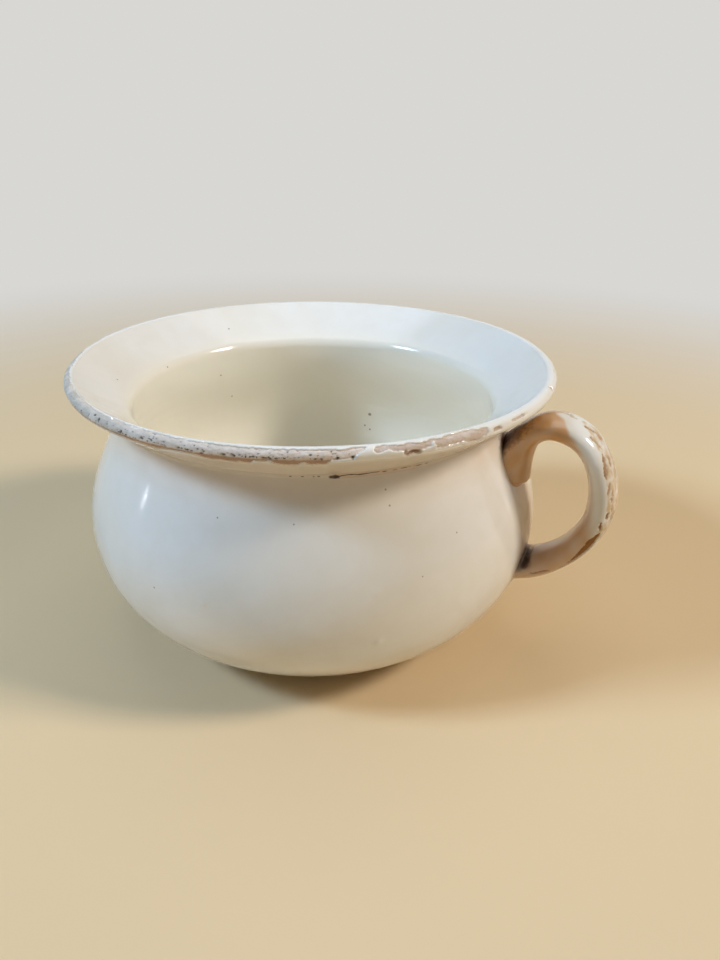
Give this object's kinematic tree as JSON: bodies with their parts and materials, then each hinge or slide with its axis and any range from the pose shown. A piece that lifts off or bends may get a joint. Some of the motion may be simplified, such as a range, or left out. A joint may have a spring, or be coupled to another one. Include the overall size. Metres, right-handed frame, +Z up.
{
  "type": "chamber pot",
  "caption": "Round-bellied glazed earthenware chamber pot with a wide everted rim, a turned foot ring and a luted strap handle, for use beside a bed at night.",
  "frame": {"origin": "on the pot's axis, on the plane that the foot ring stands on", "axes": "+Z up along the pot's axis, +X towards the handle"},
  "size_m": [0.2577, 0.2246, 0.1341],
  "materials": {
    "biscuit": "matte fired clay",
    "slip": "matte fired clay",
    "cream_glaze": "glossy glaze",
    "white_glaze": "glossy glaze"
  },
  "bodies": {
    "root": {"bowl": "biscuit", "handle": "biscuit", "upper_slip": "slip", "lower_slip": "slip", "inside_glaze": "cream_glaze", "outside_glaze": "white_glaze", "handle_glaze": "white_glaze"}
  },
  "joints": []
}
